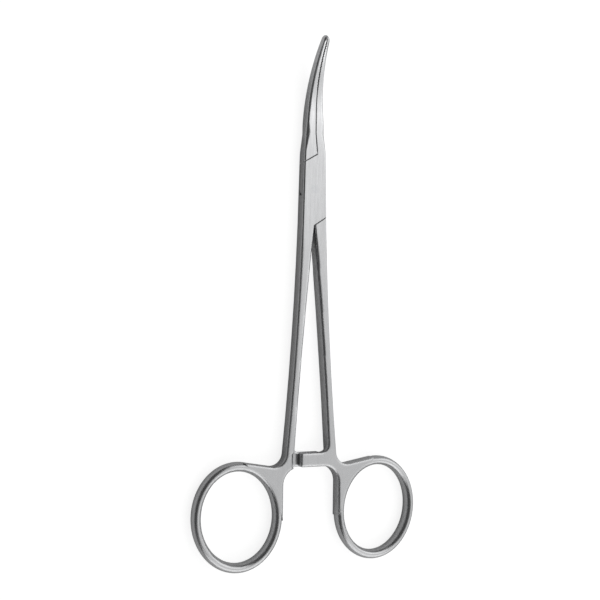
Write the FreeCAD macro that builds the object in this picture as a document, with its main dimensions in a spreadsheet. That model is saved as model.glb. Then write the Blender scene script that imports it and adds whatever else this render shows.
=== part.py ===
"""Curved mosquito artery forceps with a box lock, closed on its ratchet and lying on its flat back.

Frame, in millimetres: the origin is where the pivot axis meets the back of the lock. +Z is the pivot
axis and points up from the surface it lies on, +Y runs to the tips, and the jaws curve towards +Z.
The two halves cross at the lock, so each has its finger ring on one side and its jaw on the other.
Both are drawn with the ring at +X and the jaw at -X. The tongue half stays so, side 1, and the box
half is turned over, side -1.
"""
import FreeCAD, Part
import math
import os

import Sketcher

# Every driving size: its name, its value in millimetres or degrees, and what it is.
SIZES = [
    ("thickness", 3.4, "lock, shanks and webs, front to back"),
    ("lock_width_top", 5.7, "across the lock, level with the upper crotch"),
    ("lock_width_low", 6.4, "across the lock, level with the lower crotch"),
    ("crotch_reach", 8.7, "pivot to each crotch, along the length"),
    ("shoulder_reach", 6.5, "pivot to the outer end of each shoulder, along the length"),
    ("crotch_lean", 0.5, "upper crotch off the centre line, towards the jaw of the box half"),
    ("plate_wall", 0.95, "each face plate of the box"),
    ("fit_gap", 0.05, "tongue to plate, and tongue to slot wall"),
    ("mating_gap", 0.03, "each mating face to the line between the halves"),
    ("open_angle", 50.0, "swing from closed to the stop in the slot"),
    ("pin_radius", 1.1, "rivet through the lock"),
    ("pin_running_gap", 0.04, "rivet to the bore of the tongue"),
    ("shoulder_break", 0.15, "bevel along each shoulder"),
    ("edge_round", 0.4, "long edges of lock, shanks and ratchet bars"),
    ("shank_outer_radius", 840.0, "hollow outer edge of the shanks"),
    ("shank_inner_radius", 1500.0, "hollow inner edge of the shanks"),
    ("ratchet_reach", 64.5, "pivot to the middle of the ratchet bars"),
    ("ratchet_offset", 5.7, "centre line of a shank at the ratchet"),
    ("ratchet_width", 2.2, "shank at the ratchet"),
    ("bar_width", 3.3, "ratchet bar, along the length"),
    ("bar_overrun", 2.8, "ratchet bar past the centre line"),
    ("bar_end_round", 0.5, "corners at the end of a ratchet bar"),
    ("bar_top_round", 1.9, "bar to shank, on the side of the lock"),
    ("bar_foot_round", 3.9, "bar to the inner edge of the web, on the side of the rings"),
    ("heel_offset", 7.15, "inner edge of the web, off the centre line"),
    ("step_cut", 0.6, "slope that clears the other bar, into the face of the arm"),
    ("step_run", 1.2, "that slope, across"),
    ("tooth_pitch", 1.3, "ratchet teeth, along the bar"),
    ("tooth_depth", 0.5, "ratchet teeth"),
    ("tooth_gap", 0.05, "tooth tips to the plane between the bars"),
    ("tooth_margin", 0.3, "first tooth to the end of its bar"),
    ("ring_drop", 12.2, "ratchet bars to the middle of the rings, along the length"),
    ("ring_offset", 17.8, "centre line to the middle of a ring"),
    ("ring_half_long", 11.3, "centre line of the ring wire, along the length"),
    ("ring_half_wide", 9.72, "centre line of the ring wire, across"),
    ("ring_tilt", 7.5, "lean of the oval rings, top outwards"),
    ("wire_width", 2.13, "ring wire, in the plane of the ring"),
    ("wire_thickness", 3.5, "ring wire, front to back, before its flats are ground"),
    ("valley_drop", 1.8, "ratchet bars to the corner between shank and ring, along the length"),
    ("valley_round", 3.0, "rounding of that corner"),
    ("jaw_start", 9.3, "pivot to where the form of the jaw begins"),
    ("scallop_reach", 13.8, "pivot to where the outer edges are ground down most"),
    ("scallop_round", 1.1, "outer edges there"),
    ("curve_start", 19.0, "pivot to where the jaws start to curve"),
    ("curve_radius", 24.3, "front of the jaws, radius of the curve"),
    ("curve_angle", 42.0, "turn of the jaws from lock to tip"),
    ("tip_half_width", 0.75, "one jaw, across, at the tip"),
    ("tip_depth", 2.1, "jaw at the tip, front to back"),
    ("jaw_round", 0.6, "outer edges of the jaws"),
    ("mating_break", 0.1, "bevel along the mating edges of the jaws"),
    ("nose_length", 0.9, "rounded end of each jaw"),
    ("serration_from", 13.0, "angle along the curve where the serrations begin"),
    ("serration_pitch", 0.6, "serrations, along the jaw"),
    ("serration_depth", 0.2, "serrations"),
]
# Counts, turns in degrees, and shares of the sizes above.
TOOTH_COUNT = 3
CURVE_SECTIONS = 6
NOSE_TURNS = (35, 58, 75)
NOSE_DEPTH_SHARE = 0.7  # of the narrowing of the nose, taken by its depth too
WEB_SHARE = 0.45  # of the ring wire, from its centre line out to the corners of the web
GROOVE_SHARE = 0.46  # of the pitch, half the width of a serration
NEAR_SHARE = 0.25  # of the lock, what counts as near the centre line

doc = FreeCAD.newDocument("forceps")


def make_sheet():
    """Spreadsheet with one named cell for each driving size."""
    made = doc.addObject("Spreadsheet::Sheet", "Size")
    for row, (alias, value, note) in enumerate(SIZES, start=1):
        made.set(f"A{row}", alias)
        made.set(f"B{row}", str(value))
        made.set(f"C{row}", note)
        made.setAlias(f"B{row}", alias)
    doc.recompute()
    return made


sheet = make_sheet()

# Sizes that follow from the driving ones, as expressions on the sheet.
MIDDLE = "(Size.thickness / 2)"
RING_REACH = "(Size.ratchet_reach + Size.ring_drop)"
VALLEY_REACH = "(Size.ratchet_reach + Size.valley_drop)"
NEAR = f"(Size.lock_width_top * {NEAR_SHARE})"
LOCK_MIDDLE = "((Size.lock_width_low + Size.lock_width_top) / 4)"
LOCK_TAPER = "((Size.lock_width_low - Size.lock_width_top) / (4 * Size.crotch_reach))"
SLOT_REACH = f"({LOCK_MIDDLE} + Size.fit_gap)"
SLOT_HEIGHT = "(Size.thickness - 2 * Size.plate_wall)"
SLOT_BASE = ("0", "0", "Size.plate_wall")
BAR_TOP = "(Size.bar_width / 2 - Size.ratchet_reach)"
BAR_FOOT = "(0 - Size.bar_width / 2 - Size.ratchet_reach)"
ARM_INNER = "(Size.ratchet_offset - Size.ratchet_width / 2)"
ARM_OUTER = "(Size.ratchet_offset + Size.ratchet_width / 2)"
FOOT_START = "(Size.heel_offset - Size.bar_foot_round)"
CURVE_HEIGHT = "(Size.thickness + Size.curve_radius)"
CURVE_LENGTH = "(Size.curve_radius * Size.curve_angle * pi / 180)"
JAW_LENGTH = f"(Size.curve_start + {CURVE_LENGTH} - Size.crotch_reach)"
NOSE_ANGLE = "(Size.nose_length / Size.curve_radius * 180 / pi)"
PITCH_ANGLE = "(Size.serration_pitch / Size.curve_radius * 180 / pi)"


def worth(expression):
    """Number that an expression on the sheet gives now."""
    return float(sheet.evalExpression(str(expression)))


def lock_half(reach):
    """Half width of the lock at a distance above the pivot."""
    return f"({LOCK_MIDDLE} - {LOCK_TAPER} * ({reach}))"


def jaw_half(along):
    """Half width of the closed jaws, at a distance along them from the pivot."""
    share = f"(({along} - Size.crotch_reach) / {JAW_LENGTH})"
    return f"(Size.lock_width_top / 2 - (Size.lock_width_top / 2 - Size.tip_half_width) * {share})"


def mating_line(reach):
    """How far the line between the jaws lies off the centre line, below the scallop."""
    share = f"(({reach} - Size.crotch_reach) / (Size.scallop_reach - Size.crotch_reach))"
    return f"(Size.crotch_lean * (1 - {share}))"


def mirrored(side, corners):
    """Corners with their X turned to the side that is being built."""
    return [(f"{side} * ({x})", y) for x, y in corners]


def place_sketch(body, name, role, base=("0", "0", "0"), axis=(0, 0, 1), turn="0"):
    """Sketch on one of the body's origin planes, moved and turned in that plane's own frame."""
    sketch = body.newObject("Sketcher::SketchObject", name)
    plane = next(item for item in body.Origin.OriginFeatures if item.Role == role)
    sketch.AttachmentSupport = [(plane, "")]
    sketch.MapMode = "FlatFace"
    turned = FreeCAD.Rotation(FreeCAD.Vector(*axis), worth(turn))
    sketch.AttachmentOffset = FreeCAD.Placement(FreeCAD.Vector(), turned)
    for letter, expression in zip("xyz", base):
        sketch.setExpression(f"AttachmentOffset.Base.{letter}", expression)
    if turn != "0":
        sketch.setExpression("AttachmentOffset.Rotation.Angle", turn)
    return sketch


def bind(sketch, kind, *where, to):
    """Constraint whose value follows an expression."""
    index = sketch.addConstraint(Sketcher.Constraint(kind, *where, worth(to)))
    sketch.setExpression(f"Constraints[{index}]", to)


def draw_arc(sketch, start, finish, radius):
    """Arc from start to finish, and the numbers of its two ends.

    It turns to the left for a positive radius and to the right for a negative one.
    """
    chord = finish - start
    rise = math.sqrt(radius**2 - (chord.Length / 2) ** 2)
    across = FreeCAD.Vector(-chord.y, chord.x, 0).normalize()
    centre = (start + finish) / 2 + across * math.copysign(rise, radius)
    angles = [math.atan2(end.y - centre.y, end.x - centre.x) for end in (start, finish)]
    circle = Part.Circle(centre, FreeCAD.Vector(0, 0, 1), abs(radius))
    sketch.addGeometry(Part.ArcOfCircle(circle, *(angles if radius > 0 else angles[::-1])))
    return (1, 2) if radius > 0 else (2, 1)


def draw_outline(sketch, corners, rounds=None):
    """Closed outline through corners, each a pair of expressions.

    Its sides are straight, but rounds gives some of them a radius and a turn, 1 to the left or -1 to
    the right, by the number of the corner that they start from.
    """
    rounds = rounds or {}
    points = [FreeCAD.Vector(worth(x), worth(y), 0) for x, y in corners]
    count = len(points)
    ends = []
    for index, start in enumerate(points):
        finish = points[(index + 1) % count]
        if index in rounds:
            radius, turn = rounds[index]
            ends.append(draw_arc(sketch, start, finish, turn * worth(radius)))
        else:
            sketch.addGeometry(Part.LineSegment(start, finish))
            ends.append((1, 2))
    for index, (x, y) in enumerate(corners):
        after = (index + 1) % count
        meet = Sketcher.Constraint("Coincident", index, ends[index][1], after, ends[after][0])
        sketch.addConstraint(meet)
        bind(sketch, "DistanceX", -1, 1, index, ends[index][0], to=x)
        bind(sketch, "DistanceY", -1, 1, index, ends[index][0], to=y)
    for index, (radius, _) in rounds.items():
        bind(sketch, "Radius", index, to=radius)


def draw_circle(sketch, radius):
    """Circle about the sketch's own origin."""
    round_edge = Part.Circle(FreeCAD.Vector(), FreeCAD.Vector(0, 0, 1), worth(radius))
    index = sketch.addGeometry(round_edge)
    sketch.addConstraint(Sketcher.Constraint("Coincident", index, 3, -1, 1))
    bind(sketch, "Radius", index, to=radius)


def draw_oval(sketch, half_x, half_y, centre_x="0"):
    """Ellipse centred on the sketch's X axis, its longer half width along Y."""
    centre = FreeCAD.Vector(worth(centre_x), 0, 0)
    top = centre + FreeCAD.Vector(0, worth(half_y), 0)
    end = centre + FreeCAD.Vector(worth(half_x), 0, 0)
    index = sketch.addGeometry(Part.Ellipse(top, end, centre))
    sketch.exposeInternalGeometry(index)
    long_axis, short_axis = index + 1, index + 2
    bind(sketch, "DistanceX", -1, 1, index, 3, to=centre_x)
    sketch.addConstraint(Sketcher.Constraint("PointOnObject", index, 3, -1))
    sketch.addConstraint(Sketcher.Constraint("Vertical", long_axis))
    bind(sketch, "Distance", long_axis, to=f"2 * {half_y}")
    bind(sketch, "Distance", short_axis, to=f"2 * {half_x}")


def add_feature(body, kind, name, sign, **settings):
    """New last feature of a body, which adds to it, sign 1, takes from it, sign -1, or either, 0."""
    before = body.Tip.Shape.Volume if body.Tip else 0.0
    feature = body.newObject(f"PartDesign::{kind}", name)
    for key, value in settings.items():
        if isinstance(value, str) and key in ("Length", "Radius", "Size", "Angle"):
            feature.setExpression(key, value)
        else:
            setattr(feature, key, value)
    body.Tip = feature
    doc.recompute()
    if not feature.isValid():
        raise ValueError(f"{body.Label}: {name} failed")
    if sign * (feature.Shape.Volume - before) < 0 or feature.Shape.Volume == before:
        raise ValueError(f"{body.Label}: {name} does the wrong thing")
    return feature


def pad(body, name, sketch, length):
    return add_feature(body, "Pad", name, 1, Profile=sketch, Length=length)


def pocket(body, name, sketch, length, reverse=False):
    """Pocket that goes against the sketch's normal, or along it when reversed."""
    return add_feature(body, "Pocket", name, -1, Profile=sketch, Length=length, Reversed=reverse)


def dress(body, kind, name, size, pick):
    """Fillet or Chamfer of the edges that pick chooses on the body's last feature."""
    base = body.Tip
    names = [f"Edge{i}" for i, edge in enumerate(base.Shape.Edges, start=1) if pick(edge)]
    if not names:
        raise ValueError(f"{body.Label}: no edge for {name}")
    key = "Radius" if kind == "Fillet" else "Size"
    add_feature(body, kind, name, 0, Base=(base, names), **{key: size})


def upright(edge):
    """True of a straight edge along Z."""
    box = edge.BoundBox
    return box.XLength < 1e-6 and box.YLength < 1e-6


def upright_at(x, y):
    """Picks the edge along Z that stands close to a spot."""
    place = FreeCAD.Vector(worth(x), worth(y), 0)
    near = worth("Size.ratchet_width / 2")

    def pick(edge):
        foot = FreeCAD.Vector(edge.BoundBox.XMin, edge.BoundBox.YMin, 0)
        return upright(edge) and foot.distanceToPoint(place) < near

    return pick


def on_a_face(edge):
    """True of an edge that lies in the front or the back plane of the forceps."""
    box = edge.BoundBox
    return box.ZLength < 1e-6 and min(abs(box.ZMin), abs(box.ZMin - worth("Size.thickness"))) < 1e-6


def on_shoulder(edge):
    """True of the slanting edges where the halves meet across the lock."""
    box = edge.BoundBox
    middle = abs(box.Center.y)
    between = worth("Size.shoulder_reach") < middle < worth("Size.crotch_reach")
    return on_a_face(edge) and between and box.XLength > worth(NEAR)


def ring_wire(degrees, out="0"):
    """Point on the ring wire, by its angle round the oval and its distance out of the centre line."""
    across = f"(Size.ring_half_wide + {out}) * cos({degrees})"
    along = f"(Size.ring_half_long + {out}) * sin({degrees})"
    return (
        f"Size.ring_offset + {across} * cos(Size.ring_tilt) + {along} * sin(Size.ring_tilt)",
        f"{along} * cos(Size.ring_tilt) - {across} * sin(Size.ring_tilt) - {RING_REACH}",
    )


def in_ring(point, side):
    """True of a point inside the outer edge of the ring wire."""
    across = side * point.x - worth("Size.ring_offset")
    along = point.y + worth(RING_REACH)
    tilt = math.radians(worth("Size.ring_tilt"))
    wide = across * math.cos(tilt) - along * math.sin(tilt)
    long = across * math.sin(tilt) + along * math.cos(tilt)
    reach = worth("Size.wire_width") / 2
    half_wide = worth("Size.ring_half_wide") + reach
    half_long = worth("Size.ring_half_long") + reach
    return math.hypot(wide / half_wide, long / half_long) < 1


def foot_height(across):
    """Height of the hollow between the bar and the web, at a distance off the centre line."""
    radius = "Size.bar_foot_round"
    return f"({BAR_FOOT} - {radius} + sqrt({radius}^2 - ({across} - {FOOT_START})^2))"


ARM = {
    "inner_bar": (ARM_INNER, "0 - Size.ratchet_reach"),
    "inner_foot": (ARM_INNER, foot_height(ARM_INNER)),
    "heel": ("Size.heel_offset", f"{BAR_FOOT} - Size.bar_foot_round"),
    "web_foot": ring_wire(193, f"Size.wire_width * {WEB_SHARE}"),
    "wire_175": ring_wire(175),
    "wire_155": ring_wire(155),
    "wire_135": ring_wire(135),
    "wire_115": ring_wire(115),
    "web_top": ring_wire(103, f"Size.wire_width * {WEB_SHARE}"),
    "valley": (ARM_OUTER, f"0 - {VALLEY_REACH}"),
    "outer_lock": (lock_half("0 - Size.crotch_reach"), "0 - Size.crotch_reach"),
}


def add_arm(body, side, crotch, lock_corners):
    """Shank and web at full thickness, closed by the lock corners that this half has above them."""
    sketch = place_sketch(body, "ArmOutline", "XY_Plane")
    corners = [crotch, *ARM.values(), *lock_corners]
    number = {name: index for index, name in enumerate(ARM, start=1)}
    rounds = {
        0: ("Size.shank_inner_radius", -side),
        number["inner_foot"]: ("Size.bar_foot_round", -side),
        number["valley"]: ("Size.shank_outer_radius", -side),
    }
    draw_outline(sketch, mirrored(side, corners), rounds)
    pad(body, "Arm", sketch, "Size.thickness")
    corner, = mirrored(side, [ARM["valley"]])
    dress(body, "Fillet", "Valley", "Size.valley_round", upright_at(*corner))


def add_bar(body, side, level):
    """Ratchet bar, in front of the middle plane at level 1 and behind it at level -1."""
    base = ("0", "0", f"({MIDDLE} + Size.tooth_gap) * {max(level, 0)}")
    sketch = place_sketch(body, "BarOutline", "XY_Plane", base)
    corners = [
        ("0 - Size.bar_overrun", BAR_TOP),
        ("0 - Size.bar_overrun", BAR_FOOT),
        (FOOT_START, BAR_FOOT),
        ("Size.ratchet_offset", foot_height("Size.ratchet_offset")),
        ("Size.ratchet_offset", BAR_TOP),
    ]
    draw_outline(sketch, mirrored(side, corners), {2: ("Size.bar_foot_round", -side)})
    pad(body, "Bar", sketch, f"{MIDDLE} - Size.tooth_gap")
    top, end = worth(BAR_TOP), worth("Size.bar_overrun")
    dress(body, "Fillet", "BarRoot", "Size.bar_top_round", lambda edge: (
        upright(edge) and abs(edge.BoundBox.YMin - top) < 1e-3 and side * edge.BoundBox.XMin > 0
    ))
    dress(body, "Fillet", "BarEnd", "Size.bar_end_round", lambda edge: (
        upright(edge) and abs(side * edge.BoundBox.XMin + end) < 1e-3
    ))


def round_edges(body, side):
    """Bevels the shoulder that ends outside a crotch, then rounds the outer edges of both faces."""
    dress(body, "Chamfer", "ShoulderBreak", "Size.shoulder_break", lambda edge: (
        on_shoulder(edge) and side * edge.BoundBox.Center.y < 0
    ))
    jaw_start = worth("Size.jaw_start")

    def pick(edge):
        middle = edge.BoundBox.Center
        if not on_a_face(edge) or on_shoulder(edge):
            return False
        if abs(middle.y - jaw_start) < 1e-3 or (middle.y > 0 and abs(middle.x) < worth(NEAR)):
            return False
        return not all(in_ring(vertex.Point, side) for vertex in edge.Vertexes)

    dress(body, "Fillet", "EdgeRound", "Size.edge_round", pick)


def cut_ratchet(body, side, level):
    """Slope in the arm that clears the other bar, and the teeth of this half's own bar."""
    beyond = "Size.tooth_pitch"
    base = ("0", "0", f"0 - {BAR_TOP} - {beyond}")
    outer = f"{MIDDLE} * (1 - {level})"
    high = f"{ARM_INNER} + Size.step_cut"
    low = f"{high} - Size.step_run"
    step = place_sketch(body, "StepProfile", "XZ_Plane", ("0", "0", f"0 - {BAR_TOP}"))
    draw_outline(step, mirrored(side, [(high, outer), (low, MIDDLE), (low, outer)]))
    pocket(body, "Step", step, "Size.bar_width", reverse=True)
    start = "Size.tooth_margin - Size.bar_overrun"
    groove = place_sketch(body, "ToothProfile", "XZ_Plane", base)
    draw_outline(groove, mirrored(side, [
        (start, MIDDLE),
        (f"{start} + Size.tooth_pitch", MIDDLE),
        (start, f"{MIDDLE} + {level} * (Size.tooth_gap + Size.tooth_depth)"),
    ]))
    first = pocket(body, "Tooth", groove, f"Size.bar_width + 2 * {beyond}", reverse=True)
    add_feature(
        body, "LinearPattern", "Teeth", -1, Originals=[first], Direction=(groove, ["H_Axis"]),
        Reversed=side < 0, Length=f"Size.tooth_pitch * {TOOTH_COUNT - 1}", Occurrences=TOOTH_COUNT,
    )


def add_ring(body, side):
    """Finger ring: an oval wire swept round an oval, ground level with the web on both faces."""
    lean = f"{-side} * Size.ring_tilt"
    across = f"{side} * Size.ring_offset"
    base = (across, f"0 - {RING_REACH}", MIDDLE)
    path = place_sketch(body, "RingPath", "XY_Plane", base, (0, 0, 1), lean)
    draw_oval(path, "Size.ring_half_wide", "Size.ring_half_long")
    base = (f"0 - {RING_REACH}", MIDDLE, across)
    wire = place_sketch(body, "RingWire", "YZ_Plane", base, (0, 1, 0), lean)
    draw_oval(wire, "(Size.wire_width / 2)", "(Size.wire_thickness / 2)", "Size.ring_half_long")
    add_feature(body, "AdditivePipe", "Ring", 1, Profile=wire, Spine=(path, ["Edge1"]))
    excess = "Size.wire_thickness - Size.thickness"
    for name, height, upwards in (("FrontFlat", "Size.thickness", True), ("BackFlat", "0", False)):
        base = (across, f"0 - {RING_REACH}", height)
        flat = place_sketch(body, f"{name}Outline", "XY_Plane", base)
        draw_circle(flat, "(Size.ring_half_long + Size.wire_width)")
        pocket(body, name, flat, excess, reverse=upwards)


def jaw_section(body, side, name, along, corner, turn="0", lean="0", shrink=1.0):
    """Section of a jaw: flat where it meets the other jaw, rounded on the outside.

    The sketch's own origin is the centre of the curve, or above the centre line before the curve.
    Sections of the nose shrink towards the middle of the mating face.
    """
    back_set = "Size.curve_start" if turn != "0" else along
    base = ("0", CURVE_HEIGHT, f"0 - {back_set}")
    sketch = place_sketch(body, name, "XZ_Plane", base, (1, 0, 0), turn)
    slim = f"(({along} - Size.curve_start) / {CURVE_LENGTH})"
    depth = "Size.thickness"
    if turn != "0":
        depth = f"(Size.thickness - (Size.thickness - Size.tip_depth) * {slim})"
    deep_shrink = 1 - NOSE_DEPTH_SHARE * (1 - shrink)
    inset = f"{depth} * {(1 - deep_shrink) / 2}"
    front = f"(0 - Size.curve_radius - {inset})"
    back = f"(0 - Size.curve_radius - {depth} + {inset})"
    mate = f"({side} * {lean} - Size.mating_gap)"
    outer = f"(0 - {jaw_half(along)} * {shrink})"
    corner = f"({corner} * {shrink})"
    bevel = f"(Size.mating_break * {shrink})"
    corners = [
        (mate, f"{back} + {bevel}"),
        (mate, f"{front} - {bevel}"),
        (f"{mate} - {bevel}", front),
        (f"{outer} + {corner}", front),
        (outer, f"{front} - {corner}"),
        (outer, f"{back} + {corner}"),
        (f"{outer} + {corner}", back),
        (f"{mate} - {bevel}", back),
    ]
    draw_outline(sketch, mirrored(side, corners), {3: (corner, side), 5: (corner, side)})
    return sketch


def add_jaw(body, side):
    """Curved jaw, lofted from the lock to the tip, and its rounded nose."""
    lean = mating_line("Size.jaw_start")
    halfway = "(Size.curve_start + Size.scallop_reach) / 2"
    straight = [
        jaw_section(body, side, "JawRootSection", "Size.jaw_start", "Size.edge_round", lean=lean),
        jaw_section(body, side, "ScallopSection", "Size.scallop_reach", "Size.scallop_round"),
        jaw_section(body, side, "WaistSection", halfway, "Size.jaw_round"),
        jaw_section(body, side, "CurveSection", "Size.curve_start", "Size.jaw_round"),
    ]
    add_feature(
        body, "AdditiveLoft", "JawStraight", 1,
        Profile=straight[0], Sections=straight[1:], Ruled=True,
    )
    curved = [straight[-1]]
    step = f"((Size.curve_angle - {NOSE_ANGLE}) / {CURVE_SECTIONS})"
    for index in range(1, CURVE_SECTIONS + 1):
        turn = f"({step} * {index})"
        along = f"(Size.curve_start + Size.curve_radius * {turn} * pi / 180)"
        name = f"CurveSection{index}"
        curved.append(jaw_section(body, side, name, along, "Size.jaw_round", turn))
    add_feature(body, "AdditiveLoft", "JawCurve", 1, Profile=curved[0], Sections=curved[1:])
    nose = [curved[-1]]
    for index, degrees in enumerate(NOSE_TURNS):
        advance = math.sin(math.radians(degrees))
        turn = f"(Size.curve_angle - {NOSE_ANGLE} * {1 - advance})"
        along = f"(Size.curve_start + Size.curve_radius * {turn} * pi / 180)"
        shrink = math.cos(math.radians(degrees))
        name = f"NoseSection{index}"
        nose.append(jaw_section(body, side, name, along, "Size.jaw_round", turn, shrink=shrink))
    add_feature(body, "AdditiveLoft", "Nose", 1, Profile=nose[0], Sections=nose[1:])


def cut_serrations(body, side):
    """Grooves across the mating face. Those of one jaw face the ridges of the other."""
    shift = 0.5 if side > 0 else 0
    turn = f"(Size.serration_from + {shift} * {PITCH_ANGLE})"
    base = ("0", "Size.curve_start", CURVE_HEIGHT)
    groove = place_sketch(body, "SerrationProfile", "XY_Plane", base, (1, 0, 0), turn)
    half = f"Size.serration_pitch * {GROOVE_SHARE}"
    draw_outline(groove, mirrored(side, [
        ("0", half),
        ("0", f"0 - {half}"),
        ("0 - Size.mating_gap - Size.serration_depth", "0"),
    ]))
    reach = "Size.curve_radius + 2 * Size.thickness"
    first = pocket(body, "Serration", groove, reach)
    room = worth(f"Size.curve_angle - {NOSE_ANGLE} - {turn}")
    count = int(room / worth(PITCH_ANGLE)) + 1
    add_feature(
        body, "PolarPattern", "Serrations", -1, Originals=[first], Axis=(groove, ["H_Axis"]),
        Angle=f"{PITCH_ANGLE} * {count - 1}", Occurrences=count,
    )


def bore(body, radius):
    """Hole through the lock for the rivet."""
    sketch = place_sketch(body, "BoreOutline", "XY_Plane")
    draw_circle(sketch, radius)
    pocket(body, "Bore", sketch, "Size.thickness", reverse=True)


def finish_half(body, side, level):
    """What both halves have beyond their lock, shank and bar."""
    round_edges(body, side)
    cut_ratchet(body, side, level)
    add_ring(body, side)
    add_jaw(body, side)
    cut_serrations(body, side)


def build_tongue_half():
    """Male half: its lock is a thin tongue between its jaw and its shank."""
    body = doc.addObject("PartDesign::Body", "TongueHalf")
    body.Label = "tongue_half"
    side, level = 1, 1
    base = ("0", "0", "Size.plate_wall + Size.fit_gap")
    tongue = "Size.thickness - 2 * (Size.plate_wall + Size.fit_gap)"
    jaw_wall = "Size.crotch_lean - Size.mating_gap"
    neck_end = "(Size.crotch_reach + Size.mating_gap)"
    disc = place_sketch(body, "TongueMiddleOutline", "XY_Plane", base)
    draw_circle(disc, LOCK_MIDDLE)
    pad(body, "TongueMiddle", disc, tongue)
    upper = place_sketch(body, "UpperNeckOutline", "XY_Plane", base)
    draw_outline(upper, [
        (jaw_wall, "0"),
        (jaw_wall, neck_end),
        (f"0 - {lock_half(neck_end)}", neck_end),
        (f"0 - {LOCK_MIDDLE}", "0"),
    ])
    pad(body, "UpperNeck", upper, tongue)
    lower = place_sketch(body, "LowerNeckOutline", "XY_Plane", base)
    draw_outline(lower, [
        ("Size.mating_gap", "0"),
        ("Size.mating_gap", f"0 - {neck_end}"),
        (lock_half(f"0 - {neck_end}"), f"0 - {neck_end}"),
        (LOCK_MIDDLE, "0"),
    ])
    pad(body, "LowerNeck", lower, tongue)
    root = place_sketch(body, "JawRootOutline", "XY_Plane")
    draw_outline(root, [
        (jaw_wall, neck_end),
        (f"{mating_line('Size.jaw_start')} - Size.mating_gap", "Size.jaw_start"),
        (f"0 - {jaw_half('Size.jaw_start')}", "Size.jaw_start"),
        (f"0 - {lock_half('Size.shoulder_reach')}", "Size.shoulder_reach + Size.mating_gap"),
    ])
    pad(body, "JawRoot", root, "Size.thickness")
    add_arm(body, side, ("Size.mating_gap", f"0 - {neck_end}"), [
        (lock_half("0 - Size.shoulder_reach"), "0 - Size.shoulder_reach - Size.mating_gap"),
    ])
    add_bar(body, side, level)
    finish_half(body, side, level)
    bore(body, "(Size.pin_radius + Size.pin_running_gap)")
    return body


def turned(x, y, sign):
    """Place that a point has after the tongue half swings open as far as it goes."""
    swing = "Size.open_angle"
    return (
        f"{sign} * (({x}) * cos({swing}) - ({y}) * sin({swing}))",
        f"{sign} * (({x}) * sin({swing}) + ({y}) * cos({swing}))",
    )


def swing_room(body, name, sign, wall):
    """Room in the slot for one neck of the tongue, the upper one at sign 1, the lower at sign -1."""
    far = "Size.lock_width_low"
    half = lock_half(f"{sign} * {far}")
    beyond = turned(f"0 - {half} - Size.fit_gap", far, sign)
    room = place_sketch(body, f"{name}Outline", "XY_Plane", SLOT_BASE)
    draw_outline(room, [
        (f"{sign} * ({wall})", "0"),
        (f"{sign} * ({wall})", f"{sign} * Size.crotch_reach"),
        (beyond[0], f"{sign} * Size.crotch_reach"),
        beyond,
        turned(f"0 - {SLOT_REACH}", "0", sign),
    ])
    pocket(body, name, room, SLOT_HEIGHT, reverse=True)


def cut_slot(body):
    """Slot for the tongue: a disc about the pivot, and the room that each neck swings through."""
    disc = place_sketch(body, "SlotMiddleOutline", "XY_Plane", SLOT_BASE)
    draw_circle(disc, SLOT_REACH)
    pocket(body, "SlotMiddle", disc, SLOT_HEIGHT, reverse=True)
    swing_room(body, "UpperSlot", 1, "Size.crotch_lean + Size.mating_gap")
    swing_room(body, "LowerSlot", -1, "Size.mating_gap")


def build_box_half():
    """Female half: its lock is a box with a slot right through it for the tongue."""
    body = doc.addObject("PartDesign::Body", "BoxHalf")
    body.Label = "box_half"
    side, level = -1, -1
    add_arm(body, side, ("Size.mating_gap", "Size.mating_gap - Size.crotch_reach"), [
        (lock_half("Size.shoulder_reach"), "Size.shoulder_reach - Size.mating_gap"),
        ("0 - Size.crotch_lean - Size.mating_gap", "Size.crotch_reach - Size.mating_gap"),
        (f"0 - {mating_line('Size.jaw_start')} - Size.mating_gap", "Size.jaw_start"),
        (f"0 - {jaw_half('Size.jaw_start')}", "Size.jaw_start"),
        (f"0 - {lock_half('0 - Size.shoulder_reach')}", "Size.mating_gap - Size.shoulder_reach"),
    ])
    add_bar(body, side, level)
    finish_half(body, side, level)
    cut_slot(body)
    bore(body, "Size.pin_radius")
    return body


def build_pin():
    """Rivet through the lock, ground flush on both faces."""
    pin = doc.addObject("Part::Cylinder", "PivotPin")
    pin.Label = "pivot_pin"
    pin.setExpression("Radius", "Size.pin_radius")
    pin.setExpression("Height", "Size.thickness")
    doc.recompute()
    return pin


def check(pieces):
    """Stops where an object of the document failed or a piece isn't one sound solid."""
    failed = [item.Name for item in doc.Objects if {"Invalid", "Error"} & set(item.State)]
    if failed:
        raise ValueError(f"failed: {failed}")
    for piece in pieces:
        shape = piece.Shape
        if shape.isNull() or not shape.isValid() or len(shape.Solids) != 1:
            raise ValueError(f"{piece.Label} isn't one sound solid")


def main():
    pieces = [build_box_half(), build_tongue_half(), build_pin()]
    doc.recompute()
    check(pieces)
    os.makedirs("parts", exist_ok=True)
    for piece in pieces:
        piece.Shape.exportStep(f"parts/{piece.Label}.step")
        print(piece.Label, round(piece.Shape.Volume, 2), "mm3")


main()
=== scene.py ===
"""Looks of the curved mosquito haemostatic forceps: satin steel, a plain floor and soft light.

The halves and the rivet keep their CAD solids. The halves share one steel and the rivet has its
own, both built from node groups for the grinding grain, the handling marks and painted shade
in the recesses; the grain group also paints the jaws lighter as painted light.
"""

import bpy
from bpy.props import FloatProperty, FloatVectorProperty, PointerProperty
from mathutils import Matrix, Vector

bl_info = {
    "name": "Haemostatic Forceps",
    "version": (1, 0, 0),
    "blender": (4, 5, 0),
    "location": "3D View > Sidebar > Forceps",
    "description": "Finishes the curved mosquito forceps and sets its stage",
    "category": "Object",
}

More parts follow.
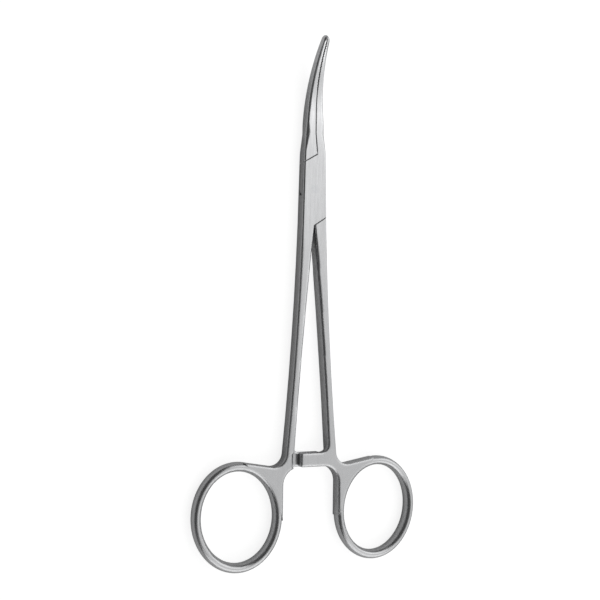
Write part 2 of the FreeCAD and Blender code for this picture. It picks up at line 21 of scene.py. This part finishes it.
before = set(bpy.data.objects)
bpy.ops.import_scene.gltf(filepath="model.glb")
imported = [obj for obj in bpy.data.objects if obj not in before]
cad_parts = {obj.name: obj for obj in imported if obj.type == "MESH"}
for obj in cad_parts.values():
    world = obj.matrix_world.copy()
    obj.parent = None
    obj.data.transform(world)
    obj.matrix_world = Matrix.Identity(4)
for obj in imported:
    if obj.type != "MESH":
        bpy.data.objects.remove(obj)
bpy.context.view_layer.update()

HALVES = ("box_half", "tongue_half")
RIVET = "pivot_pin"

# Places on the forceps, in metres. A pair is where a change starts and where it ends.
RING_CENTRE = (0.0178, -0.0767)
RING_WIRE = 0.011
RING_EDGE = (0.0118, 0.0128)
SHANK_TO_LOCK = (-0.016, -0.008)
LOCK_TO_JAW = (0.01, 0.02)
# Where the jaws' colour turns lighter, as painted light.
JAW_PAINTED_LIGHT_SPAN = (0.008, 0.022)
OFF_RIVET = (0.0018, 0.0024)

# How far the shading rounds long edges, in metres, and how much lighter the jaws' colour is
# painted, as painted light.
SHANK_EDGE = 0.0009
LOCK_EDGE = 0.00025
JAW_EDGE = 0.00022
JAW_PAINTED_LIGHT = 1.22

# The grain: shares of single lines and of broad belt passes, and how much finer a line is.
FINE_LINES = 0.65
BELT_PASSES = 0.35
PASS_SCALE = 0.22
NOISE_ROUGHNESS = 0.55
GRAIN_RANGE = (0.3, 0.7)
GRAIN_ROUGHNESS = 0.06
HALF_CONTRAST = 0.06
RIVET_CONTRAST = 0.05

# Smudges per metre, and the parts of their noise and of the open sky that count.
SMUDGE_SCALE = 160.0
SMUDGE_RANGE = (0.35, 0.7)
OPEN_RANGE = (0.25, 0.8)

# The room: where its dark side lies, and where along that direction it darkens.
DARK_SIDE = (-0.9, 0.44, 0.0)
DARK_RANGE = (-0.25, 0.25)
# Overhead panels side by side: where each starts and ends along Y, and its share of the strength.
OVERHEAD = (
    ("Tip panel", 0.22, 1.3, 0.9),
    ("Lock panel", 0.08, 0.22, 0.62),
    ("Shank panel", -0.1, 0.08, 0.36),
    ("Ring panel", -0.28, -0.1, 0.26),
    ("Jaw panel", -0.55, -0.28, 0.6),
)
OVERHEAD_X = 0.75
OVERHEAD_WIDE = 1.4
OVERHEAD_HEIGHT = 0.6
# Standing panels: place, point aimed at, width and height.
FRONT_PANEL = ((0.1, -0.8, 0.45), (0.0, -0.02, 0.0), 1.3, 0.65)
SIDE_PANEL = ((1.5, 0.55, 0.28), (0.0, 0.03, 0.0), 1.6, 0.55)
SENSOR_WIDTH = 36.0
WHITE = (1.0, 1.0, 1.0, 1.0)


# Settings

class ForcepsSteel(bpy.types.PropertyGroup):
    """The steel of the halves and of the rivet."""

    colour: FloatVectorProperty(
        name="Steel", description="Colour of the satin steel", subtype="COLOR",
        size=3, min=0.0, max=1.0, default=(0.545, 0.548, 0.555))
    rivet_colour: FloatVectorProperty(
        name="Rivet", description="Colour of the rivet's ground end", subtype="COLOR",
        size=3, min=0.0, max=1.0, default=(0.52, 0.525, 0.535))
    roughness: FloatProperty(
        name="Roughness", description="How far the satin finish spreads a reflection",
        subtype="FACTOR", min=0.0, max=1.0, default=0.24)
    grain_width: FloatProperty(
        name="Grain width", description="Width of one line of the grinding grain",
        unit="LENGTH", min=0.00001, max=0.001, precision=5, default=0.00012)
    grain_length: FloatProperty(
        name="Grain length", description="Length of one line of the grinding grain",
        unit="LENGTH", min=0.0001, max=0.05, precision=4, default=0.005)
    grain_depth: FloatProperty(
        name="Grain depth", description="Depth of the grinding grain",
        unit="LENGTH", min=0.0, max=0.0001, precision=6, default=0.000004)


class ForcepsStage(bpy.types.PropertyGroup):
    """The floor, the lights and the camera."""

    floor_size: FloatProperty(
        name="Floor", description="Side of the square floor", unit="LENGTH",
        min=0.5, max=20.0, default=6.0)
    floor_colour: FloatVectorProperty(
        name="Floor colour", description="Colour of the plain floor", subtype="COLOR",
        size=3, min=0.0, max=1.0, default=(0.35, 0.35, 0.35))
    reflected_colour: FloatVectorProperty(
        name="Reflected floor", description="Colour of the floor in reflections on the steel",
        subtype="COLOR", size=3, min=0.0, max=1.0, default=(0.6, 0.6, 0.6))
    reflected_glow: FloatProperty(
        name="Reflected glow", description="Light of the floor in reflections on the steel",
        min=0.0, max=2.0, default=0.08)
    floor_glow: FloatProperty(
        name="Floor glow", description="Light that the floor adds where it is seen",
        min=0.0, max=2.0, default=0.84)
    key_power: FloatProperty(
        name="Overhead light", description="Power of the overhead panels, per metre of length",
        unit="POWER", min=0.0, max=500.0, default=5.0)
    fill_power: FloatProperty(
        name="Front light", description="Power of the panel in front of the rings",
        unit="POWER", min=0.0, max=500.0, default=2.5)
    side_power: FloatProperty(
        name="Side light", description="Power of the low panel on the right",
        unit="POWER", min=0.0, max=500.0, default=2.0)
    room: FloatProperty(
        name="Room light", description="Strength of the light from the room",
        min=0.0, max=2.0, default=0.5)
    dark_room: FloatProperty(
        name="Dark side", description="Strength of the light from the room's dark side",
        min=0.0, max=2.0, default=0.08)
    backdrop: FloatProperty(
        name="Backdrop", description="Brightness of the room where it is seen",
        min=0.0, max=2.0, default=0.92)
    camera_place: FloatVectorProperty(
        name="Camera place", description="Where the camera stands", subtype="XYZ",
        unit="LENGTH", size=3, default=(-0.079146, -0.040384, 0.168646))
    camera_turn: FloatVectorProperty(
        name="Camera turn", description="How the camera is turned", subtype="EULER",
        unit="ROTATION", size=3, default=(0.067768, -0.429388, 0.014429))
    camera_lens: FloatProperty(
        name="Lens", description="Focal length on a 36 mm sensor, in millimetres",
        min=10.0, max=300.0, default=46.2)


# Node groups for the finishes

def new_group(name, inputs, outputs):
    group = bpy.data.node_groups.new(name, "ShaderNodeTree")
    for label, kind, value in inputs:
        socket = group.interface.new_socket(label, in_out="INPUT", socket_type=kind)
        if value is not None:
            socket.default_value = value
    for label, kind in outputs:
        group.interface.new_socket(label, in_out="OUTPUT", socket_type=kind)
    start = group.nodes.new("NodeGroupInput")
    end = group.nodes.new("NodeGroupOutput")
    return group, start, end


def node(tree, kind, label="", **values):
    made = tree.nodes.new(kind)
    made.label = label
    for key, value in values.items():
        setattr(made, key, value)
    return made


def feed(tree, value, socket):
    """Sets a socket to a number, or links another node's output to it."""
    if isinstance(value, (int, float)):
        socket.default_value = value
    else:
        tree.links.new(value, socket)


def math_node(tree, operation, *values, label=""):
    made = node(tree, "ShaderNodeMath", label, operation=operation)
    for value, socket in zip(values, made.inputs):
        feed(tree, value, socket)
    return made.outputs[0]


def scaled(tree, vector, factor):
    made = node(tree, "ShaderNodeVectorMath", operation="SCALE")
    tree.links.new(vector, made.inputs[0])
    feed(tree, factor, made.inputs["Scale"])
    return made.outputs["Vector"]


def noise(tree, vector, detail, label):
    made = node(tree, "ShaderNodeTexNoise", label)
    made.inputs["Scale"].default_value = 1.0
    made.inputs["Detail"].default_value = detail
    made.inputs["Roughness"].default_value = NOISE_ROUGHNESS
    tree.links.new(vector, made.inputs["Vector"])
    return made.outputs["Fac"]


def remap(tree, value, span, low, high, label=""):
    """Goes smoothly from low to high while the value crosses the span."""
    made = node(tree, "ShaderNodeMapRange", label, interpolation_type="SMOOTHSTEP")
    for name, number in (("Value", value), ("From Min", span[0]), ("From Max", span[1]),
                         ("To Min", low), ("To Max", high)):
        feed(tree, number, made.inputs[name])
    return made.outputs["Result"]


def combine(tree, x, y, z, label=""):
    made = node(tree, "ShaderNodeCombineXYZ", label)
    for value, socket in zip((x, y, z), made.inputs):
        feed(tree, value, socket)
    return made.outputs["Vector"]


def grain_direction_group():
    """Lays the grain along the shanks and jaws, and round each finger ring."""
    group, start, end = new_group(
        "Grain direction",
        (("Position", "NodeSocketVector", None),
         ("Line width", "NodeSocketFloat", 0.0001),
         ("Line length", "NodeSocketFloat", 0.005)),
        (("Along", "NodeSocketVector"), ("Round", "NodeSocketVector"),
         ("Ring share", "NodeSocketFloat"), ("Edge width", "NodeSocketFloat"),
         ("Jaw painted light", "NodeSocketFloat")))
    split = node(group, "ShaderNodeSeparateXYZ")
    group.links.new(start.outputs["Position"], split.inputs[0])
    x, y, z = split.outputs
    width = start.outputs["Line width"]
    length = start.outputs["Line length"]
    straight = combine(
        group,
        math_node(group, "DIVIDE", x, width),
        math_node(group, "DIVIDE", y, length),
        math_node(group, "DIVIDE", z, width), "Along the shank")
    side = math_node(group, "ABSOLUTE", x)
    across = math_node(group, "SUBTRACT", side, RING_CENTRE[0])
    down = math_node(group, "SUBTRACT", y, RING_CENTRE[1])
    square = math_node(group, "ADD", math_node(group, "MULTIPLY", across, across),
                       math_node(group, "MULTIPLY", down, down))
    radius = math_node(group, "SQRT", square, label="Distance from the ring's middle")
    angle = math_node(group, "ARCTAN2", down, across, label="Turn round the ring")
    round_length = math_node(group, "MULTIPLY", angle, RING_WIRE)
    round_grain = combine(
        group,
        math_node(group, "DIVIDE", radius, width),
        math_node(group, "DIVIDE", round_length, length),
        math_node(group, "DIVIDE", z, width), "Round the ring")
    share = remap(group, radius, RING_EDGE, 1.0, 0.0, "Within the ring")
    group.links.new(straight, end.inputs["Along"])
    group.links.new(round_grain, end.inputs["Round"])
    group.links.new(share, end.inputs["Ring share"])
    shank = remap(group, y, SHANK_TO_LOCK, SHANK_EDGE, LOCK_EDGE, "Edges of shank and lock")
    jaw = remap(group, y, LOCK_TO_JAW, 0.0, JAW_EDGE - LOCK_EDGE, "Edges of the jaws")
    from_pivot = node(group, "ShaderNodeVectorMath", "Distance from the pivot", operation="LENGTH")
    group.links.new(combine(group, x, y, 0.0), from_pivot.inputs[0])
    off_rivet = remap(group, from_pivot.outputs["Value"], OFF_RIVET, 0.0, 1.0, "Off the rivet")
    edge = math_node(group, "MULTIPLY", math_node(group, "ADD", shank, jaw), off_rivet)
    group.links.new(edge, end.inputs["Edge width"])
    # Painted light: the jaws' colour grows lighter towards the tips, standing in for the brighter
    # light on them.
    jaw_painted_light = remap(group, y, JAW_PAINTED_LIGHT_SPAN, 1.0, JAW_PAINTED_LIGHT, "Painted light on the jaws")
    group.links.new(jaw_painted_light, end.inputs["Jaw painted light"])
    return group


def ground_grain_group():
    """Fine parallel lines of the grinding belt, and the tone they give the steel, with painted
    light that makes the jaws lighter.
    """
    group, start, end = new_group(
        "Ground grain",
        (("Along", "NodeSocketVector", None),
         ("Round", "NodeSocketVector", None),
         ("Ring share", "NodeSocketFloat", 0.0),
         ("Jaw painted light", "NodeSocketFloat", 1.0),
         ("Colour", "NodeSocketColor", None),
         ("Contrast", "NodeSocketFloat", 0.1)),
        (("Colour", "NodeSocketColor"), ("Height", "NodeSocketFloat"),
         ("Roughness", "NodeSocketFloat")))
    mix = node(group, "ShaderNodeMix", "Straight or round", data_type="FLOAT")
    group.links.new(start.outputs["Ring share"], mix.inputs[0])
    for name, socket in (("Along", mix.inputs[2]), ("Round", mix.inputs[3])):
        fine = noise(group, start.outputs[name], 3.0, "Belt lines")
        wider = scaled(group, start.outputs[name], PASS_SCALE)
        broad = noise(group, wider, 2.0, "Belt passes")
        lines = math_node(group, "ADD", math_node(group, "MULTIPLY", fine, FINE_LINES),
                          math_node(group, "MULTIPLY", broad, BELT_PASSES))
        group.links.new(lines, socket)
    height = mix.outputs[0]
    low = math_node(group, "SUBTRACT", 1.0, start.outputs["Contrast"])
    high = math_node(group, "ADD", 1.0, start.outputs["Contrast"])
    line_tone = remap(group, height, GRAIN_RANGE, low, high, "Tone of a line")
    # The jaws' share of the tone is painted light, a lighter colour on the jaws.
    tone = math_node(group, "MULTIPLY", line_tone, start.outputs["Jaw painted light"])
    group.links.new(scaled(group, start.outputs["Colour"], tone), end.inputs["Colour"])
    group.links.new(height, end.inputs["Height"])
    rough = remap(group, height, GRAIN_RANGE, GRAIN_ROUGHNESS, -GRAIN_ROUGHNESS,
                  "Roughness of a line")
    group.links.new(rough, end.inputs["Roughness"])
    return group


def handling_marks_group():
    """Faint smudges and uneven brushing that handling leaves on satin steel."""
    group, start, end = new_group(
        "Handling marks",
        (("Position", "NodeSocketVector", None),
         ("Roughness", "NodeSocketFloat", 0.3),
         ("Amount", "NodeSocketFloat", 0.05)),
        (("Roughness", "NodeSocketFloat"),))
    cloud_place = scaled(group, start.outputs["Position"], SMUDGE_SCALE)
    cloud = noise(group, cloud_place, 4.0, "Smudges")
    mask = remap(group, cloud, SMUDGE_RANGE, 0.0, 1.0, "Smudge mask")
    added = math_node(group, "MULTIPLY", mask, start.outputs["Amount"])
    total = math_node(group, "ADD", start.outputs["Roughness"], added)
    group.links.new(total, end.inputs["Roughness"])
    return group


def recess_group():
    """Painted shade: darkens the colour where light hardly reaches, as in the seams, the slot and
    the serrations.
    """
    group, start, end = new_group(
        "Recess shade",
        (("Colour", "NodeSocketColor", None),
         ("Reach", "NodeSocketFloat", 0.0004),
         ("Darkest", "NodeSocketFloat", 0.3)),
        (("Colour", "NodeSocketColor"),))
    open_share = node(group, "ShaderNodeAmbientOcclusion", "Openness", samples=8)
    group.links.new(start.outputs["Reach"], open_share.inputs["Distance"])
    shade = remap(group, open_share.outputs["AO"], OPEN_RANGE, start.outputs["Darkest"], 1.0)
    group.links.new(scaled(group, start.outputs["Colour"], shade), end.inputs["Colour"])
    return group


def group_node(tree, group):
    made = tree.nodes.new("ShaderNodeGroup")
    made.node_tree = group
    return made


def steel_material(name, colour, roughness, width, length, depth, contrast):
    """Satin steel with its grain, marks and bump."""
    material = bpy.data.materials.new(name)
    material.use_nodes = True
    tree = material.node_tree
    shader = tree.nodes["Principled BSDF"]
    shader.inputs["Metallic"].default_value = 1.0
    place = node(tree, "ShaderNodeTexCoord").outputs["Object"]

    direction = group_node(tree, bpy.data.node_groups["Grain direction"])
    tree.links.new(place, direction.inputs["Position"])
    direction.inputs["Line width"].default_value = width
    direction.inputs["Line length"].default_value = length

    grain = group_node(tree, bpy.data.node_groups["Ground grain"])
    for name in ("Along", "Round", "Ring share", "Jaw painted light"):
        tree.links.new(direction.outputs[name], grain.inputs[name])
    grain.inputs["Colour"].default_value = (*colour, 1.0)
    grain.inputs["Contrast"].default_value = contrast
    # Painted shade from the Recess shade group darkens the colour in the seams, the slot and the
    # serrations.
    recess = group_node(tree, bpy.data.node_groups["Recess shade"])
    tree.links.new(grain.outputs["Colour"], recess.inputs["Colour"])
    tree.links.new(recess.outputs["Colour"], shader.inputs["Base Color"])

    marks = group_node(tree, bpy.data.node_groups["Handling marks"])
    tree.links.new(place, marks.inputs["Position"])
    marks.inputs["Roughness"].default_value = roughness
    rough = math_node(tree, "ADD", marks.outputs["Roughness"], grain.outputs["Roughness"])
    tree.links.new(rough, shader.inputs["Roughness"])

    soft_edge = node(tree, "ShaderNodeBevel", "Softened edges", samples=8)
    tree.links.new(direction.outputs["Edge width"], soft_edge.inputs["Radius"])
    bump = node(tree, "ShaderNodeBump")
    tree.links.new(soft_edge.outputs["Normal"], bump.inputs["Normal"])
    bump.inputs["Strength"].default_value = 1.0
    bump.inputs["Distance"].default_value = depth
    tree.links.new(grain.outputs["Height"], bump.inputs["Height"])
    tree.links.new(bump.outputs["Normal"], shader.inputs["Normal"])
    return material


def dress(obj, material):
    """Puts one finish on a CAD node and leaves its mesh alone."""
    for slot in obj.material_slots:
        slot.material = material


# Operators

class FORCEPS_OT_finishes(bpy.types.Operator):
    """Builds the node groups that the steels share"""

    bl_idname = "forceps.finishes"
    bl_label = "Shared finishes"

    def execute(self, context):
        grain_direction_group()
        ground_grain_group()
        handling_marks_group()
        recess_group()
        return {"FINISHED"}


class FORCEPS_OT_halves(bpy.types.Operator):
    """Gives both halves their satin steel"""

    bl_idname = "forceps.halves"
    bl_label = "Forceps halves"

    def execute(self, context):
        steel = context.scene.forceps_steel
        material = steel_material(
            "Satin steel", steel.colour, steel.roughness, steel.grain_width,
            steel.grain_length, steel.grain_depth, HALF_CONTRAST)
        for name in HALVES:
            dress(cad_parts[name], material)
        return {"FINISHED"}


class FORCEPS_OT_rivet(bpy.types.Operator):
    """Gives the rivet its ground steel"""

    bl_idname = "forceps.rivet"
    bl_label = "Rivet"

    def execute(self, context):
        steel = context.scene.forceps_steel
        material = steel_material(
            "Ground rivet steel", steel.rivet_colour, steel.roughness, steel.grain_width,
            steel.grain_length, steel.grain_depth, RIVET_CONTRAST)
        dress(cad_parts[RIVET], material)
        return {"FINISHED"}


def soft_panel(name, place, aim, wide, high, power):
    bpy.ops.object.light_add(type="AREA", location=place)
    lamp = bpy.context.object
    lamp.name = name
    lamp.data.shape = "RECTANGLE"
    lamp.data.size = wide
    lamp.data.size_y = high
    lamp.data.energy = power
    lamp.rotation_euler = (Vector(aim) - Vector(place)).to_track_quat("-Z", "Y").to_euler()
    return lamp


def camera_switch(tree, elsewhere, seen, surface):
    """Shows one shader to the camera and the other to the steel and the light."""
    rays = node(tree, "ShaderNodeLightPath")
    mix = node(tree, "ShaderNodeMixShader")
    tree.links.new(rays.outputs["Is Camera Ray"], mix.inputs["Fac"])
    tree.links.new(elsewhere, mix.inputs[1])
    tree.links.new(seen, mix.inputs[2])
    tree.links.new(mix.outputs["Shader"], surface)


def paper_shader(shader, colour, glow):
    for name, value in (("Base Color", (*colour, 1.0)), ("Roughness", 0.9),
                        ("Specular IOR Level", 0.0), ("Emission Color", WHITE),
                        ("Emission Strength", glow)):
        shader.inputs[name].default_value = value
    return shader.outputs["BSDF"]


def floor_paper(stage):
    """Plain paper, bright where it is seen and duller in what the steel reflects of it."""
    paper = bpy.data.materials.new("Floor paper")
    paper.use_nodes = True
    tree = paper.node_tree
    seen = paper_shader(tree.nodes["Principled BSDF"], stage.floor_colour, stage.floor_glow)
    reflected = paper_shader(node(tree, "ShaderNodeBsdfPrincipled", "Floor in reflections"),
                             stage.reflected_colour, stage.reflected_glow)
    camera_switch(tree, reflected, seen, tree.nodes["Material Output"].inputs["Surface"])
    return paper


def studio_room(stage):
    """Pale room with a dark side, which draws the dark line along each left edge of the steel."""
    world = bpy.data.worlds.new("Room")
    world.use_nodes = True
    tree = world.node_tree
    lighting = tree.nodes["Background"]
    place = node(tree, "ShaderNodeTexCoord").outputs["Generated"]
    towards = node(tree, "ShaderNodeVectorMath", "Towards the dark side", operation="DOT_PRODUCT")
    towards.inputs[1].default_value = DARK_SIDE
    tree.links.new(place, towards.inputs[0])
    strength = remap(tree, towards.outputs["Value"], DARK_RANGE, stage.room, stage.dark_room)
    tree.links.new(strength, lighting.inputs["Strength"])
    seen = node(tree, "ShaderNodeBackground", "Room where it is seen")
    seen.inputs["Strength"].default_value = stage.backdrop
    for background in (lighting, seen):
        background.inputs["Color"].default_value = WHITE
    camera_switch(tree, lighting.outputs["Background"], seen.outputs["Background"],
                  tree.nodes["World Output"].inputs["Surface"])
    return world


class FORCEPS_OT_stage(bpy.types.Operator):
    """Lays the floor and sets the lights and the camera"""

    bl_idname = "forceps.stage"
    bl_label = "Stage"

    def execute(self, context):
        stage = context.scene.forceps_stage
        bpy.ops.object.select_all(action="DESELECT")

        bpy.ops.mesh.primitive_plane_add(size=stage.floor_size, location=(0.0, 0.0, 0.0))
        floor = context.object
        floor.name = "floor"
        floor.data.materials.append(floor_paper(stage))

        for name, near, far, share in OVERHEAD:
            middle = (near + far) / 2
            soft_panel(name, (OVERHEAD_X, middle, OVERHEAD_HEIGHT), (OVERHEAD_X, middle, 0.0),
                       OVERHEAD_WIDE, far - near, share * (far - near) * stage.key_power)
        soft_panel("Front panel", *FRONT_PANEL, stage.fill_power)
        soft_panel("Side panel", *SIDE_PANEL, stage.side_power)

        context.scene.world = studio_room(stage)

        bpy.ops.object.camera_add(location=stage.camera_place, rotation=stage.camera_turn)
        camera = context.object
        camera.data.sensor_width = SENSOR_WIDTH
        camera.data.lens = stage.camera_lens
        camera.data.clip_start = 0.001
        camera.data.clip_end = 20.0
        context.scene.camera = camera
        context.scene.view_settings.view_transform = "Standard"
        return {"FINISHED"}


# Panel and registration

class FORCEPS_PT_sidebar(bpy.types.Panel):
    """Lists the steps and their sizes"""

    bl_idname = "FORCEPS_PT_sidebar"
    bl_label = "Haemostatic forceps"
    bl_space_type = "VIEW_3D"
    bl_region_type = "UI"
    bl_category = "Forceps"

    def draw(self, context):
        layout = self.layout
        for operator in OPERATORS:
            layout.operator(operator.bl_idname)
        for group in (context.scene.forceps_steel, context.scene.forceps_stage):
            box = layout.box()
            for name in group.__annotations__:
                box.prop(group, name)


OPERATORS = (FORCEPS_OT_finishes, FORCEPS_OT_halves, FORCEPS_OT_rivet, FORCEPS_OT_stage)
CLASSES = (ForcepsSteel, ForcepsStage, *OPERATORS, FORCEPS_PT_sidebar)


def register():
    for cls in CLASSES:
        bpy.utils.register_class(cls)
    bpy.types.Scene.forceps_steel = PointerProperty(type=ForcepsSteel)
    bpy.types.Scene.forceps_stage = PointerProperty(type=ForcepsStage)


def unregister():
    del bpy.types.Scene.forceps_stage
    del bpy.types.Scene.forceps_steel
    for cls in reversed(CLASSES):
        bpy.utils.unregister_class(cls)


def main():
    register()
    bpy.ops.forceps.finishes()
    bpy.ops.forceps.halves()
    bpy.ops.forceps.rivet()
    bpy.ops.forceps.stage()


if __name__ == "__main__":
    main()
